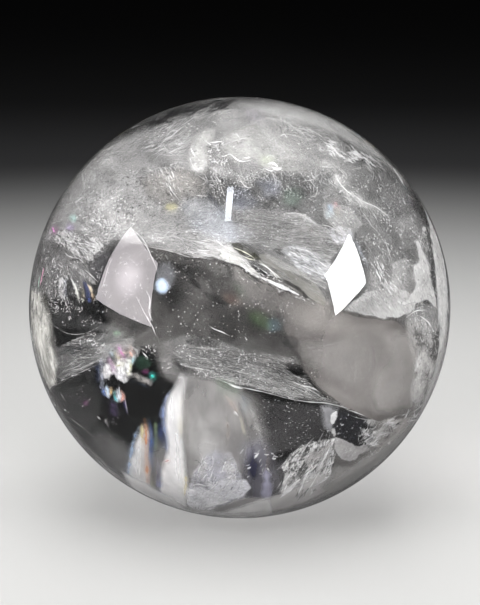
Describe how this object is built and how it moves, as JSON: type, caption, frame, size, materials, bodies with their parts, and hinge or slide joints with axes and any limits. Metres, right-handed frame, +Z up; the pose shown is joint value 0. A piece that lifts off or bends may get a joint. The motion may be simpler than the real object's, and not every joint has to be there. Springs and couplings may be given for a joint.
{
  "type": "quartz sphere",
  "caption": "Polished clear quartz sphere full of white veils and frosted fractures, standing on a small flat ground on its underside.",
  "frame": {"origin": "middle of the small flat that the sphere stands on, which is the middle of its box's underside", "axes": "+Z up, square to the flat and through the sphere's centre; the picture looks along +Y and a little down, with +X to its right"},
  "size_m": [0.08, 0.08, 0.0797],
  "materials": {
    "quartz": "polished"
  },
  "bodies": {
    "root": {"quartz_sphere": "quartz"}
  },
  "joints": []
}
